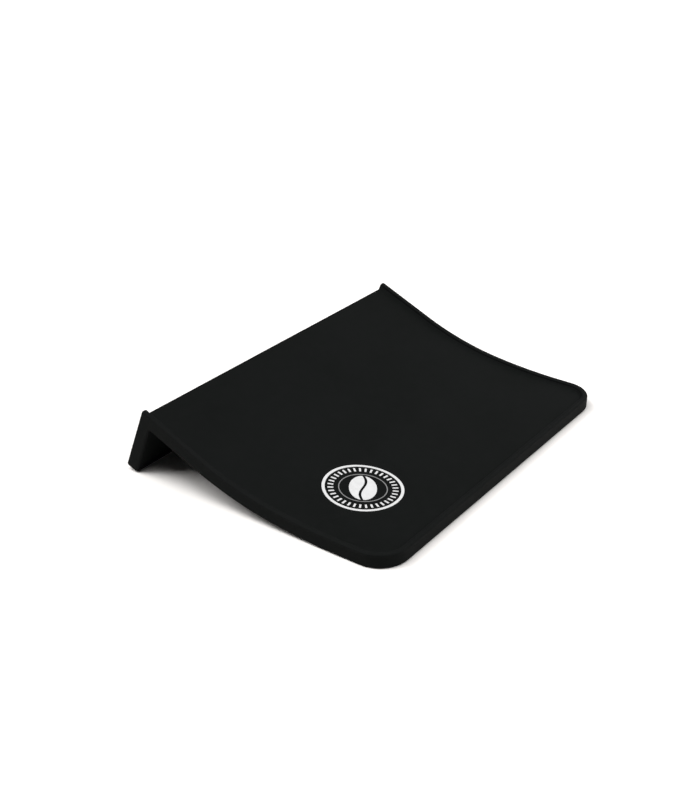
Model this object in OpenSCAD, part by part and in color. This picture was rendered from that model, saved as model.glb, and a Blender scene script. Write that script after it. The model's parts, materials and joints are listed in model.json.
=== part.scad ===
// Bench tamping mat: one silicone moulding, folded once near its front edge so that the
// lip hooks over the edge of a counter, with a round print in one corner.
// X runs along the fold, +Y from the lip to the far end, and +Z is up.
// The origin is at the centre of the footprint, on the surface that the mat stands on.

/* [Panel] */
// Width of the mat along the fold
mat_w = 200; // [150:5:300]
// Length of the panel's underside, from the fold to the far end
panel_l = 138; // [130:1:220]
// Thickness of the sheet inside its raised border
sheet_t = 5.5; // [3:0.5:8]
// Plan radius of the two far corners
corner_r = 15; // [10:0.5:16]

/* [Border] */
// Height of the raised border above the sheet
border_h = 1.5; // [1:0.25:3]
// Width of the raised border
border_w = 3; // [2:0.25:8]

/* [Lie of the panel] */
// Slope of the panel next to the fold
fold_slope = 23; // [15:1:30]
// Slope where the tight bend runs into the gentle one
mid_slope = 7; // [4:1:12]
// Length of the straight stretch next to the fold
straight_l = 27; // [15:1:28]
// Length of the tight bend along the underside
tight_l = 50; // [40:1:50]
// Length of the gentle bend along the underside
gentle_l = 40; // [25:1:40]

/* [Lip] */
// Lean of the lip away from upright, outwards at its foot
lip_lean = 21; // [5:1:30]
// Radius of the fold's outside corner
fold_r = 1; // [0.5:0.25:3]
// Radius of the fold's inside corner
hook_r = 1; // [0.5:0.25:2]

/* [Print] */
// Outside diameter of the print
print_d = 38; // [30:0.5:50]
// Distance of the print's centre from the side of the mat
print_side = 44; // [36:0.5:60]
// Distance of the print's centre from the far end, seen from above
print_end = 43.5; // [36:0.5:60]
// Thickness of the ink
ink_t = 0.2; // [0.1:0.05:0.4]
// Width of the outer ring's line
ring_w = 1.4; // [0.8:0.1:2]
// Number of dashes inside the outer ring
dash_count = 36; // [12:1:40]

/* [Hidden] */
$fn = 96;

// The profile lies in the YZ plane and is measured along the underside from the fold:
// a straight stretch, a tight bend, a gentle bend, and a flat stretch on the bench.
edge_t = sheet_t + border_h;
gentle_start = straight_l + tight_l;
flat_start = gentle_start + gentle_l;
tight_r = tight_l / ((fold_slope - mid_slope) * PI / 180);
gentle_r = gentle_l / (mid_slope * PI / 180);
bend_steps = 20;
fold_steps = 6;
past = 1;

// Direction out of the sheet's top face where it slopes down by an angle
function across(slope) = [sin(slope), cos(slope)];

// The fold's inside corner before rounding, the lip's directions, and the fold's mitre
straight_drop = straight_l * sin(fold_slope);
tight_drop = tight_r * (cos(mid_slope) - cos(fold_slope));
gentle_drop = gentle_r * (1 - cos(mid_slope));
fold_p = [0, straight_drop + tight_drop + gentle_drop];
lip_l = fold_p.y / cos(lip_lean);
lip_down = [-sin(lip_lean), -cos(lip_lean)];
lip_out = [-cos(lip_lean), sin(lip_lean)];
mitre = (lip_out + across(fold_slope)) / (1 + lip_out * across(fold_slope));

// Centres of the two bends, and the start of the flat stretch
tight_c = fold_p + straight_l * [cos(fold_slope), -sin(fold_slope)] + tight_r * across(fold_slope);
gentle_c = tight_c + (gentle_r - tight_r) * across(mid_slope);
flat_p = gentle_c - [0, gentle_r];

// The profile's extent, whose middle becomes the origin
foot_y = lip_l * lip_down.x + edge_t * lip_out.x;
end_y = flat_p.x + panel_l - flat_start;
middle_y = (foot_y + end_y) / 2;

// The rounded fold at height h above the underside
function fold_line(h) = [
    for (i = [0 : fold_steps])
    let (angle = 180 - lip_lean - (90 - lip_lean + fold_slope) * i / fold_steps)
    let (r = h == 0 ? hook_r : fold_r)
    fold_p + (h - r) * mitre + r * [cos(angle), sin(angle)]
];

// The two bends at height h
function tight_line(h) = [
    for (i = [0 : bend_steps])
    tight_c - (tight_r - h) * across(fold_slope + (mid_slope - fold_slope) * i / bend_steps)
];
function gentle_line(h) = [
    for (i = [1 : bend_steps])
    gentle_c - (gentle_r - h) * across(mid_slope * (1 - i / bend_steps))
];

// The whole profile at height h, stopping short of the lip's foot and of the far end by inset
function sheet_line(h, inset) = concat(
    [fold_p + (lip_l - inset) * lip_down + h * lip_out],
    fold_line(h),
    tight_line(h),
    gentle_line(h),
    [[end_y - inset, h]]
);

function reversed(list) = [for (i = [len(list) - 1 : -1 : 0]) list[i]];

// A layer of the folded sheet between two heights, centred on X
module layer(low, high, width, inset) {
    translate([-width / 2, -middle_y, 0])
    rotate([90, 0, 90])
    linear_extrude(width)
    polygon(concat(sheet_line(low, inset), reversed(sheet_line(high, inset))));
}

// An upright block over the whole plan, set in by inset, with its far corners rounded
module plan_block(inset) {
    half_w = mat_w / 2 - inset;
    y_max = end_y - middle_y - inset;
    r = corner_r - inset;
    translate([0, 0, -past])
    linear_extrude(fold_p.y + edge_t + 3 * past) {
        translate([-half_w, foot_y - middle_y - past])
        square([2 * half_w, y_max - r - foot_y + middle_y + past]);
        translate([r - half_w, y_max - r - past])
        square([2 * (half_w - r), r + past]);
        for (side = [-1, 1])
        translate([side * (half_w - r), y_max - r])
        circle(r);
    }
}

// A skin of ink on the sheet's top face, cut to an outline seen from above
module printed() {
    intersection() {
        layer(sheet_t, sheet_t + ink_t, mat_w - 2 * border_w, border_w);
        translate([mat_w / 2 - print_side, end_y - print_end - middle_y, 0])
        linear_extrude(fold_p.y)
        children();
    }
}

module ring(outer_r, line_w) {
    difference() {
        circle(outer_r);
        circle(outer_r - line_w);
    }
}

module mat() {
    color([0.12, 0.12, 0.13])
    difference() {
        intersection() {
            layer(0, edge_t, mat_w, 0);
            plan_block(0);
        }
        intersection() {
            layer(sheet_t, edge_t + past, mat_w - 2 * border_w, border_w);
            plan_block(border_w);
        }
    }
}

module print_ring() {
    color([0.93, 0.93, 0.93])
    printed()
    ring(print_d / 2, ring_w);
}

module print_dashes() {
    start_r = 0.36 * print_d;
    dash = [0.07 * print_d, 0.9];
    color([0.93, 0.93, 0.93])
    printed()
    for (i = [0 : dash_count - 1])
    rotate(i * 360 / dash_count)
    translate([start_r, -dash.y / 2])
    square(dash);
}

module print_hairline() {
    hairline_w = 0.45;
    color([0.6, 0.6, 0.6])
    printed()
    ring(0.3 * print_d, hairline_w);
}

// Two halves of a coffee bean, parted by a wavy groove along its length
module print_bean() {
    half_l = 0.26 * print_d;
    half_w = 0.17 * print_d;
    groove_w = 1.3;
    wave_h = 0.22 * half_w;
    turns = [0 : 7.5 : 360];
    outline = [for (a = turns) if (a < 360) [half_l * cos(a), half_w * sin(a)]];
    wave = [for (a = turns) [1.1 * half_l * (a / 180 - 1), wave_h * sin(a)]];
    half_groove = [0, groove_w / 2];
    color([0.93, 0.93, 0.93])
    printed()
    rotate(35)
    difference() {
        polygon(outline);
        polygon(concat([for (p = wave) p - half_groove], reversed([for (p = wave) p + half_groove])));
    }
}

mat();
print_ring();
print_dashes();
print_hairline();
print_bean();
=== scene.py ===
import json
import math

import bmesh
import bpy
from mathutils import Euler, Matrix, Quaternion, Vector


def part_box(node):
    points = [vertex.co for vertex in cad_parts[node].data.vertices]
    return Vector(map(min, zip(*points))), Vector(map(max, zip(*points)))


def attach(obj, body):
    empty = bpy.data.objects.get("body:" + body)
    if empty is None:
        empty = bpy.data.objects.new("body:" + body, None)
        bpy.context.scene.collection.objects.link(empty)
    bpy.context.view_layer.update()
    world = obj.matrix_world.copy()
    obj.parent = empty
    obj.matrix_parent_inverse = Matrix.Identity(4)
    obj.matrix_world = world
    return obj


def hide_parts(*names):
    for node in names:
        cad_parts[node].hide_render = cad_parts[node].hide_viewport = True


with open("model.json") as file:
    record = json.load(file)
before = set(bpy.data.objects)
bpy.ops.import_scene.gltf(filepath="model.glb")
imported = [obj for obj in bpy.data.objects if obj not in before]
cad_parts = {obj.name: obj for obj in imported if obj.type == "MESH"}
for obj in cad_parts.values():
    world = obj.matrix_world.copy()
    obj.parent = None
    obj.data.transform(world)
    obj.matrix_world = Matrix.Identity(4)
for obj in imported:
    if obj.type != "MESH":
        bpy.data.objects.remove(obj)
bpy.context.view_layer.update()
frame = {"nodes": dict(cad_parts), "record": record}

MM = 0.001
mat_low, mat_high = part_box("mat")
mounts = {mount["name"]: mount for mount in frame["record"]["mounts"]}

# Sizes of the moulding, in metres, and its slopes, two of which its mounts give
SHEET_T = 5.5 * MM
BORDER_H = 1.5 * MM
BORDER_W = 3.0 * MM
EDGE_T = SHEET_T + BORDER_H
CORNER_R = 15.0 * MM
FOOT_R = 1.0 * MM
STRAIGHT_L = 27.0 * MM
TIGHT_L = 50.0 * MM
GENTLE_L = 40.0 * MM
FOLD_R = 1.0 * MM
HOOK_R = 1.0 * MM
MID_SLOPE = math.radians(7.0)
FOLD_SLOPE = math.asin(-mounts["sloped_underside"]["axis"][1])
LIP_LEAN = math.asin(-mounts["lip_back"]["axis"][2])

# Radii of the moulding's edges, and how far from them a loop keeps the flat faces shaded flat
UNDER_EDGE_R = 1.0 * MM
OUTER_EDGE_R = 1.0 * MM
INNER_EDGE_R = 0.8 * MM
BORDER_FOOT_R = 0.6 * MM
HOLD = 0.5 * MM

# What follows from them
TIGHT_R = TIGHT_L / (FOLD_SLOPE - MID_SLOPE)
GENTLE_R = GENTLE_L / MID_SLOPE
FOLD_Z = (STRAIGHT_L * math.sin(FOLD_SLOPE)
          + TIGHT_R * (math.cos(MID_SLOPE) - math.cos(FOLD_SLOPE))
          + GENTLE_R * (1 - math.cos(MID_SLOPE)))
LIP_L = FOLD_Z / math.cos(LIP_LEAN)
FOLD_Y = mat_low.y + LIP_L * math.sin(LIP_LEAN) + EDGE_T * math.cos(LIP_LEAN)
BENDS_REACH = (STRAIGHT_L * math.cos(FOLD_SLOPE)
               + TIGHT_R * (math.sin(FOLD_SLOPE) - math.sin(MID_SLOPE))
               + GENTLE_R * math.sin(MID_SLOPE))
BENDS_L = STRAIGHT_L + TIGHT_L + GENTLE_L
PANEL_L = BENDS_L + mat_high.y - FOLD_Y - BENDS_REACH
HALF_W = mat_high.x


# ---------------------------------------------------------------- node trees

class Number:
    """A socket that carries a number, so that arithmetic on it adds Math nodes."""

    def __init__(self, graph, socket):
        self.graph = graph
        self.socket = socket

    def _math(self, operation, *operands):
        node = self.graph.add("ShaderNodeMath", {"operation": operation}, dict(enumerate(operands)))
        return Number(self.graph, node.outputs[0])

    def __add__(self, other):
        return self._math("ADD", self, other)

    __radd__ = __add__

    def __sub__(self, other):
        return self._math("SUBTRACT", self, other)

    def __rsub__(self, other):
        return self._math("SUBTRACT", other, self)

    def __mul__(self, other):
        return self._math("MULTIPLY", self, other)

    __rmul__ = __mul__

    def __truediv__(self, other):
        return self._math("DIVIDE", self, other)

    def __lt__(self, other):
        return self._math("LESS_THAN", self, other)

    def __abs__(self):
        return self._math("ABSOLUTE", self)

    def least(self, other):
        return self._math("MINIMUM", self, other)

    def most(self, other):
        return self._math("MAXIMUM", self, other)

    def within(self, low, high):
        return self.most(low).least(high)

    def sin(self):
        return self._math("SINE", self)

    def cos(self):
        return self._math("COSINE", self)

    def tan(self):
        return self._math("TANGENT", self)

    def span(self, low, high, to_low=0.0, to_high=1.0):
        """The number carried smoothly from one range to another, and held at its ends."""
        node = self.graph.add("ShaderNodeMapRange", {"interpolation_type": "SMOOTHSTEP"}, {
            "Value": self, "From Min": low, "From Max": high, "To Min": to_low, "To Max": to_high})
        return Number(self.graph, node.outputs["Result"])


class Graph:
    """A node tree under construction."""

    def __init__(self, tree):
        self.tree = tree
        tree.nodes.clear()

    def add(self, kind, settings=None, sockets=None):
        """Adds a node: its settings first, then the values or links of its sockets."""
        node = self.tree.nodes.new(kind)
        for name, value in (settings or {}).items():
            setattr(node, name, value)
        for name, value in (sockets or {}).items():
            if isinstance(value, Number):
                value = value.socket
            if isinstance(value, bpy.types.NodeSocket):
                self.tree.links.new(value, node.inputs[name])
            else:
                node.inputs[name].default_value = value
        return node

    def number(self, node, output=0):
        return Number(self, node.outputs[output])


# ------------------------------------------------------------------- finishes

class Finish(Graph):
    """A material's tree, with the few patterns that this object's finishes are made of."""

    def __init__(self, name):
        self.material = bpy.data.materials.new(name)
        self.material.use_nodes = True
        super().__init__(self.material.node_tree)
        self.place = self.add("ShaderNodeTexCoord").outputs["Object"]

    def noise(self, size, detail=2.0, roughness=0.5):
        """Cloudy noise from 0 to 1, whose patches are about size metres across."""
        node = self.add("ShaderNodeTexNoise", None, {
            "Vector": self.place, "Scale": 1 / size, "Detail": detail, "Roughness": roughness})
        return self.number(node, "Fac")

    def specks(self, spacing, radius):
        """Round specks scattered at about one in each cell, 1 inside and 0 outside."""
        node = self.add("ShaderNodeTexVoronoi", {"feature": "F1"}, {
            "Vector": self.place, "Scale": 1 / spacing, "Randomness": 1.0})
        return self.number(node, "Distance").span(0.5 * radius / spacing, radius / spacing, 1, 0)

    def blend(self, factor, low, high):
        """A colour between two, each a colour or a colour's socket."""
        node = self.add("ShaderNodeMix", {"data_type": "RGBA"}, {0: factor, 6: low, 7: high})
        return node.outputs[2]

    def bump(self, height, distance, below=None):
        sockets = {"Height": height, "Distance": distance, "Strength": 1.0}
        if below:
            sockets["Normal"] = below
        return self.add("ShaderNodeBump", None, sockets).outputs["Normal"]

    def shade(self, **sockets):
        """Ends the tree in one Principled shader."""
        names = {name.replace("_", " "): value for name, value in sockets.items()}
        shader = self.add("ShaderNodeBsdfPrincipled", None, names)
        self.add("ShaderNodeOutputMaterial", None, {"Surface": shader.outputs[0]})
        return self.material


def grey(value, warmth=0.0):
    """A grey, with its red raised and its blue lowered by the share that warmth gives."""
    return (value * (1 + warmth), value, value * (1 - warmth), 1.0)


# Colours of the silicone: its skin at its darkest and lightest, in blotches, on its rim's rounded edges
# where wear and a painted highlight lighten it, and lint
DARK_SKIN = (0.0036, 0.0043, 0.0040, 1.0)
LIGHT_SKIN = (0.0044, 0.0051, 0.0049, 1.0)
BLOTCHED_SKIN = (0.0062, 0.0066, 0.0066, 1.0)
WORN_AND_HIGHLIT_SKIN = (0.0100, 0.0104, 0.0104, 1.0)
LINT = (0.055, 0.052, 0.048, 1.0)


def silicone():
    """Black moulded silicone: a dull skin, faintly cloudy, with a fine mould grain and a little lint."""
    finish = Finish("black_silicone")
    clouds = finish.noise(34 * MM, detail=3.0)
    blotches = finish.noise(5 * MM, detail=3.0, roughness=0.6)
    grain = finish.noise(0.45 * MM, detail=2.0, roughness=0.6)
    pits = finish.specks(1.3 * MM, 0.11 * MM) * finish.noise(7 * MM).span(0.48, 0.6)
    lint = finish.specks(8 * MM, 0.13 * MM) * finish.noise(23 * MM).span(0.5, 0.62)
    edge = finish.number(finish.add("ShaderNodeAttribute", {"attribute_name": "edge"}), "Fac")
    body = finish.blend(clouds.span(0.3, 0.7), DARK_SKIN, LIGHT_SKIN)
    mottled = finish.blend(blotches.span(0.35, 0.75) * 0.3, body, BLOTCHED_SKIN)
    # The rim's rounded top edges are painted lighter, partly as wear and partly as a painted highlight
    # where the rounds catch the light
    with_wear_and_highlight = finish.blend(edge * (0.1 + blotches * 0.2), mottled, WORN_AND_HIGHLIT_SKIN)
    dusty = finish.blend(lint * 0.35, with_wear_and_highlight, LINT)
    swell = finish.bump(clouds * 0.6 + blotches * 0.1, 0.06 * MM)
    return finish.shade(
        Base_Color=dusty,
        Roughness=0.62 + clouds * 0.06 + blotches * 0.05 + grain * 0.06 + pits * 0.1,
        Normal=finish.bump(grain - pits * 0.8, 0.012 * MM, below=swell),
        IOR=1.41,
        Specular_IOR_Level=0.06,
    )


def ink(name, value):
    """Screen-printed silicone ink: a thin dull film with a faint mesh and a few pinholes."""
    finish = Finish(name)
    film = finish.noise(3 * MM, detail=4.0)
    grain = finish.noise(0.12 * MM)
    pinholes = finish.specks(1.1 * MM, 0.07 * MM) * finish.noise(5 * MM).span(0.5, 0.6)
    coat = finish.blend(film.span(0.3, 0.7), grey(value * 0.93), grey(value))
    holed = finish.blend(pinholes * 0.6, coat, grey(0.02))
    return finish.shade(
        Base_Color=holed,
        Roughness=0.5 + film * 0.15,
        Normal=finish.bump(grain - pinholes, 0.008 * MM),
        Specular_IOR_Level=0.35,
    )


# ---------------------------------------------------------------- the moulding

# Steps in a rounded edge, and columns of faces from side to side
ARC_STEPS = 5
COLUMNS = 40


def arc(centre, radius, start, stop, steps=ARC_STEPS):
    """Points along an arc, from one angle to another in degrees."""
    angles = [math.radians(start + (stop - start) * i / steps) for i in range(steps + 1)]
    return [(centre[0] + radius * math.cos(a), centre[1] + radius * math.sin(a)) for a in angles]


def border_section():
    """The moulding's rim in section, as distance in from its edge, height and a mark for wear and
    painted highlight, underside first.
    """
    under = arc((UNDER_EDGE_R, UNDER_EDGE_R), UNDER_EDGE_R, 270, 180)
    outer = arc((OUTER_EDGE_R, EDGE_T - OUTER_EDGE_R), OUTER_EDGE_R, 180, 90)
    inner = arc((BORDER_W - INNER_EDGE_R, EDGE_T - INNER_EDGE_R), INNER_EDGE_R, 90, 0)
    foot = arc((BORDER_W + BORDER_FOOT_R, SHEET_T + BORDER_FOOT_R), BORDER_FOOT_R, 180, 270)
    section = [(UNDER_EDGE_R + HOLD, 0.0), *under, (0.0, UNDER_EDGE_R + HOLD),
               (0.0, EDGE_T - OUTER_EDGE_R - HOLD), *outer, *inner, *foot,
               (BORDER_W + BORDER_FOOT_R + HOLD, SHEET_T)]
    # The rounded top edges are marked for wear and a painted highlight, which the silicone paints
    # lighter
    wear_and_highlight_mark = set(outer + inner)
    return [(inset, height, 1.0 if (inset, height) in wear_and_highlight_mark else 0.0) for inset, height in section]


def spaced(start, stop, step):
    """Places from start to stop, about step apart, without the last."""
    count = max(1, round((stop - start) / step))
    return [start + (stop - start) * i / count for i in range(count)]


# Half the length of sheet that turns into the fold's round, and where its stretch has died out
FOLD_HALF = 2.0 * MM
FOLD_REACH = 18.0 * MM

# Where the rows across the blank lie, from low on the lip to the far corners, closer where it bends
LIP_ROWS_L = 21.0 * MM
FLAT_STEP = 2.5 * MM
BEND_STEP = 1.5 * MM
FOLD_STEP = 0.5 * MM
STATIONS = (spaced(-LIP_ROWS_L, -FOLD_HALF, FLAT_STEP) + spaced(-FOLD_HALF, FOLD_HALF, FOLD_STEP)
            + spaced(FOLD_HALF, STRAIGHT_L, FLAT_STEP) + spaced(STRAIGHT_L, BENDS_L, BEND_STEP)
            + spaced(BENDS_L, PANEL_L - CORNER_R, FLAT_STEP))

# The foot's corners keep this radius however far in a loop lies
LEAST_R = 0.3 * MM


def side(inset):
    """One side of the flat blank, as places across and along it, from the lip's foot to the far end."""
    foot_r = max(FOOT_R - inset, LEAST_R)
    far_r = CORNER_R - inset
    across = HALF_W - inset
    foot = arc((across - foot_r, inset - LIP_L + foot_r), foot_r, -90, 0)
    far = arc((across - far_r, PANEL_L - inset - far_r), far_r, 0, 90, 3 * ARC_STEPS)
    return foot + [(across, along) for along in STATIONS] + far


def row(start, stop):
    """The places between two opposite points of the blank's sides."""
    return [(start[0] + (stop[0] - start[0]) * i / COLUMNS, start[1]) for i in range(1, COLUMNS)]


def loop(inset):
    """The blank's outline, set in by a distance."""
    right = side(inset)
    left = [(-across, along) for across, along in right]
    return right + row(right[-1], left[-1]) + left[::-1] + row(left[0], right[0])


def cover(vertices, faces, first, height):
    """Closes the blank inside the loop that starts at a vertex with rows from side to side."""
    count = len(side(0.0))
    far_start = first + count
    left_start = far_start + COLUMNS - 1
    foot_start = left_start + count
    rows = []
    for j in range(count):
        right = first + j
        left = left_start + count - 1 - j
        if j == 0:
            middle = [foot_start + COLUMNS - 2 - i for i in range(COLUMNS - 1)]
        elif j == count - 1:
            middle = [far_start + i for i in range(COLUMNS - 1)]
        else:
            middle = list(range(len(vertices), len(vertices) + COLUMNS - 1))
            places = row(vertices[right][:2], vertices[left][:2])
            vertices.extend((across, along, height) for across, along in places)
        rows.append([right, *middle, left])
    for near, far in zip(rows, rows[1:]):
        faces.extend((near[i], near[i + 1], far[i + 1], far[i]) for i in range(COLUMNS))


def outward(mesh):
    """Turns a closed mesh's faces outwards."""
    shell = bmesh.new()
    shell.from_mesh(mesh)
    bmesh.ops.recalc_face_normals(shell, faces=shell.faces)
    shell.to_mesh(mesh)
    shell.free()


def blank():
    """The moulding laid out flat: X across, Y along its underside from the fold, Z its height."""
    section = border_section()
    count = len(loop(0.0))
    vertices = []
    faces = []
    wear_and_highlight_marks = []
    for inset, height, wear_and_highlight_mark in section:
        vertices.extend((across, along, height) for across, along in loop(inset))
        wear_and_highlight_marks.extend([wear_and_highlight_mark] * count)
    for low in range(0, (len(section) - 1) * count, count):
        for i in range(count):
            j = (i + 1) % count
            faces.append((low + i, low + j, low + count + j, low + count + i))
    cover(vertices, faces, 0, 0.0)
    cover(vertices, faces, (len(section) - 1) * count, SHEET_T)
    wear_and_highlight_marks.extend([0.0] * (len(vertices) - len(wear_and_highlight_marks)))
    mesh = bpy.data.meshes.new("mat_blank")
    mesh.from_pydata(vertices, [], faces)
    mesh.attributes.new("edge", "FLOAT", "POINT").data.foreach_set("value", wear_and_highlight_marks)
    outward(mesh)
    return mesh


# The fold tree's inputs, in the order in which folded() takes them
FOLD_INPUTS = {
    "Fold Slope": FOLD_SLOPE, "Mid Slope": MID_SLOPE, "Lip Lean": LIP_LEAN,
    "Straight Length": STRAIGHT_L, "Tight Length": TIGHT_L, "Gentle Length": GENTLE_L,
    "Fold Y": FOLD_Y, "Fold Z": FOLD_Z, "Edge Thickness": EDGE_T,
    "Fold Radius": FOLD_R, "Hook Radius": HOOK_R,
    "Fold Half Length": FOLD_HALF, "Fold Reach": FOLD_REACH,
}


def panel_place(along, height, fold, mid, straight, tight, gentle):
    """A place on the panel, from the fold: each stretch adds its part, and the bends lower the slope."""
    far = along.most(0.0)
    in_straight = far.least(straight)
    in_tight = (far - straight).within(0.0, tight)
    in_gentle = (far - straight - tight).within(0.0, gentle)
    in_flat = (far - straight - tight - gentle).most(0.0)
    tight_slope = fold + (mid - fold) * in_tight / tight
    gentle_slope = mid - mid * in_gentle / gentle
    slope = tight_slope + gentle_slope - mid
    tight_r = tight / (fold - mid)
    gentle_r = gentle / mid
    y = (in_straight * fold.cos() + tight_r * (fold.sin() - tight_slope.sin())
         + gentle_r * (mid.sin() - gentle_slope.sin()) + in_flat + height * slope.sin())
    z = (tight_r * (fold.cos() - tight_slope.cos()) - in_straight * fold.sin()
         + gentle_r * (mid.cos() - gentle_slope.cos()) + height * slope.cos())
    return y, z


def lip_place(from_fold, height, lean):
    """A place on the lip, from the fold."""
    y = 0.0 - from_fold * lean.sin() - height * lean.cos()
    z = height * lean.sin() - from_fold * lean.cos()
    return y, z


def round_place(along, height, fold, lean, half, half_turn, radius):
    """A place on the fold's round, which turns about a centre on the fold's mitre."""
    middle = 0.75 * math.pi - (lean + fold) * 0.5
    angle = middle - along / half * half_turn
    offset = (height - radius) / half_turn.cos()
    y = offset * middle.cos() + radius * angle.cos()
    z = offset * middle.sin() + radius * angle.sin()
    return y, z


def folded(graph, given, along, height):
    """Where folding and bending take a place along the blank and at a height, as Y and Z."""
    fold, mid, lean, straight, tight, gentle, fold_y, fold_z, edge, fold_r, hook_r, half, reach = (
        graph.number(given, name) for name in FOLD_INPUTS)

    # Next to the fold the outside is longer than the inside, so its rows spread towards the corner
    half_turn = (math.pi / 2 - lean + fold) * 0.5
    mitre = half_turn.tan()
    radius = hook_r + (fold_r - hook_r) * height / edge
    spread = 1.0 - ((abs(along) - half) / (reach - half)).within(0.0, 1.0)
    slip = spread * (radius * mitre - half - height * mitre)

    panel_y, panel_z = panel_place(along, height, fold, mid, straight, tight, gentle)
    lip_y, lip_z = lip_place(slip - along.least(0.0), height, lean)
    round_y, round_z = round_place(along, height, fold, lean, half, half_turn, radius)
    in_round = abs(along) < half
    in_lip = (along < 0.0) * (1.0 - in_round)
    in_panel = 1.0 - in_round - in_lip
    y = in_panel * (panel_y + slip * fold.cos()) + in_lip * lip_y + in_round * round_y
    z = in_panel * (panel_z - slip * fold.sin()) + in_lip * lip_z + in_round * round_z
    return y + fold_y, z + fold_z


def fold_tree(material):
    """Geometry nodes that fold a flat blank at Y = 0 and bend its panel down to the bench."""
    tree = bpy.data.node_groups.new("fold_and_bend", "GeometryNodeTree")
    graph = Graph(tree)
    tree.interface.new_socket("Geometry", in_out="INPUT", socket_type="NodeSocketGeometry")
    for name in FOLD_INPUTS:
        tree.interface.new_socket(name, in_out="INPUT", socket_type="NodeSocketFloat")
    tree.interface.new_socket("Geometry", in_out="OUTPUT", socket_type="NodeSocketGeometry")
    given = graph.add("NodeGroupInput")
    position = graph.add("GeometryNodeInputPosition").outputs[0]
    split = graph.add("ShaderNodeSeparateXYZ", None, {0: position})
    across, along, height = (graph.number(split, axis) for axis in "XYZ")
    y, z = folded(graph, given, along, height)
    place = graph.add("ShaderNodeCombineXYZ", None, {"X": across, "Y": y, "Z": z})
    moved = graph.add("GeometryNodeSetPosition", None, {
        "Geometry": given.outputs[0], "Position": place.outputs[0]})
    real = graph.add("GeometryNodeRealizeInstances", None, {"Geometry": moved.outputs[0]})
    finished = graph.add("GeometryNodeSetMaterial", None, {
        "Geometry": real.outputs[0], "Material": material})
    graph.add("NodeGroupOutput", None, {"Geometry": finished.outputs[0]})
    return tree


def grown(name, mesh, tree, values):
    """A plain object whose mesh is what a geometry tree makes of another."""
    source = bpy.data.objects.new(name + "_source", mesh)
    bpy.context.scene.collection.objects.link(source)
    modifier = source.modifiers.new("tree", "NODES")
    modifier.node_group = tree
    for item in tree.interface.items_tree:
        if item.in_out == "INPUT" and item.name in values:
            modifier[item.identifier] = values[item.name]
    evaluated = source.evaluated_get(bpy.context.evaluated_depsgraph_get())
    made = bpy.data.meshes.new_from_object(evaluated)
    made.name = name
    made.shade_smooth()
    source.modifiers.remove(modifier)
    bpy.data.objects.remove(source)
    piece = bpy.data.objects.new(name, made)
    bpy.context.scene.collection.objects.link(piece)
    return piece


def moulding():
    """The folded mat with rounded edges, in place of the plain solid."""
    mat = grown("mat_moulding", blank(), fold_tree(silicone()), FOLD_INPUTS)
    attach(mat, "root")
    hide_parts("mat")


# How light the two inks are, from 0 to 1
WHITE_VALUE = 0.60
GREY_VALUE = 0.20


def printing():
    """The print's islands keep their solids and take the ink's finishes."""
    white = ink("white_ink", WHITE_VALUE)
    pale = ink("grey_ink", GREY_VALUE)
    for name, material in (("print_ring", white), ("print_dashes", white),
                           ("print_bean", white), ("print_hairline", pale)):
        materials = frame["nodes"][name].data.materials
        materials.clear()
        materials.append(material)


# ------------------------------------------------------------------ the studio

FLOOR_HALF_W = 4.0


def floor():
    """A plain pale floor at the height that the mat stands on."""
    half = FLOOR_HALF_W
    corners = [(-half, -half, 0), (half, -half, 0), (half, half, 0), (-half, half, 0)]
    mesh = bpy.data.meshes.new("floor")
    mesh.from_pydata(corners, [], [(0, 1, 2, 3)])
    plane = bpy.data.objects.new("floor", mesh)
    bpy.context.scene.collection.objects.link(plane)
    finish = Finish("pale_floor")
    pale = grey(0.9, 0.025)
    mesh.materials.append(finish.shade(Base_Color=pale, Roughness=0.9, Specular_IOR_Level=0.0))


# Soft lights: azimuth from +X and elevation in degrees, distance and width in metres, and power in watts
SOFT_LIGHTS = {
    "left_softbox": (300, 50, 3.0, 2.4, 86.0),
    "right_softbox": (122, 30, 3.0, 1.8, 52.0),
    "top_softbox": (10, 80, 3.0, 2.2, 54.0),
    "back_softbox": (185, 20, 3.0, 1.6, 13.0),
}
SURROUND_STRENGTH = 0.04


def soft_light(name, azimuth, elevation, distance, width, power):
    """A round soft light that faces the object."""
    lamp = bpy.data.lights.new(name, "AREA")
    lamp.shape = "DISK"
    lamp.size = width
    lamp.energy = power
    light = bpy.data.objects.new(name, lamp)
    turn = Euler((0.0, -math.radians(elevation), math.radians(azimuth)))
    light.location = turn.to_matrix() @ Vector((distance, 0.0, 0.0))
    light.rotation_mode = "QUATERNION"
    light.rotation_quaternion = light.location.to_track_quat("Z", "Y")
    bpy.context.scene.collection.objects.link(light)


def studio():
    """The soft lights, and a dim grey surround."""
    scene = bpy.context.scene
    scene.view_settings.view_transform = "Standard"
    scene.world = bpy.data.worlds.new("studio")
    scene.world.use_nodes = True
    surround = scene.world.node_tree.nodes["Background"]
    surround.inputs["Color"].default_value = grey(1.0)
    surround.inputs["Strength"].default_value = SURROUND_STRENGTH
    for name, values in SOFT_LIGHTS.items():
        soft_light(name, *values)


def camera():
    """A camera beyond the far corner nearest the print, looking down the mat towards its lip."""
    place = Vector((460.2, 304.6, 302.8)) * MM
    aim = Vector((-22.6, -31.0, 0.0)) * MM
    roll = math.radians(0.93)
    data = bpy.data.cameras.new("camera")
    data.sensor_width = 36.0
    data.lens = 55.9
    data.clip_start = 0.01
    eye = bpy.data.objects.new("camera", data)
    eye.location = place
    eye.rotation_mode = "QUATERNION"
    eye.rotation_quaternion = (aim - place).to_track_quat("-Z", "Y") @ Quaternion((0, 0, 1), roll)
    bpy.context.scene.collection.objects.link(eye)
    bpy.context.scene.camera = eye


camera()
floor()
studio()
moulding()
printing()
